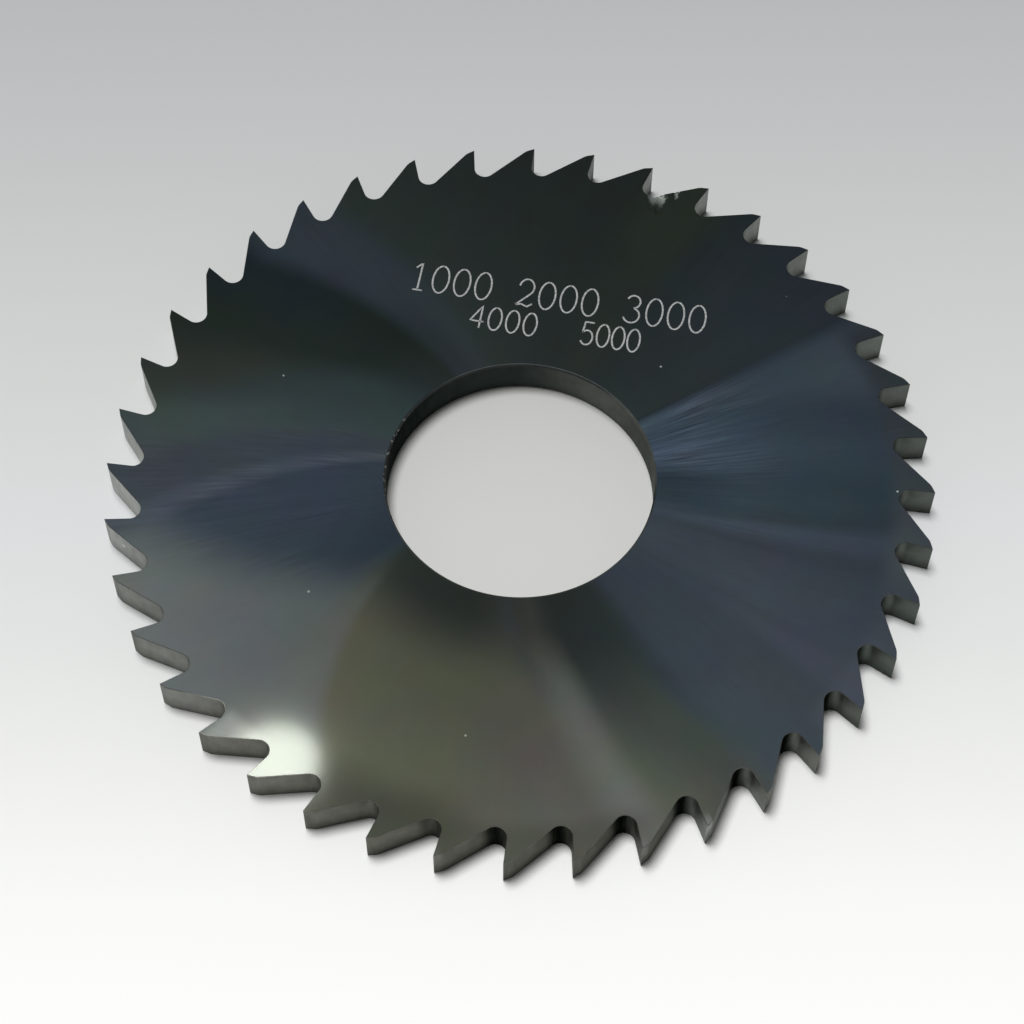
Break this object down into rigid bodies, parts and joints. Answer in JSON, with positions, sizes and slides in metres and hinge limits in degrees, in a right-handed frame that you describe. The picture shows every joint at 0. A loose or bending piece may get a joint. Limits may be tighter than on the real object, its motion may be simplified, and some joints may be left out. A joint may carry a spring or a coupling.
{
  "type": "circular slitting saw blade",
  "caption": "Thin solid hard-metal slitting saw disc with a plain round arbor bore and a full ring of fine, hooked teeth, lying flat with its marked face up.",
  "frame": {"origin": "centre of the arbor bore, on the back face that the blade rests on", "axes": "+Z along the bore's axis, out of the marked face; +Y through the tip of a tooth; seen from +Z the teeth cut clockwise"},
  "size_m": [0.04, 0.04, 0.002],
  "materials": {
    "ground_hard_metal": "ground and lightly polished sintered carbide, dark grey, with fine radial grinding marks"
  },
  "bodies": {
    "root": {"saw_blade": "ground_hard_metal"}
  },
  "joints": []
}
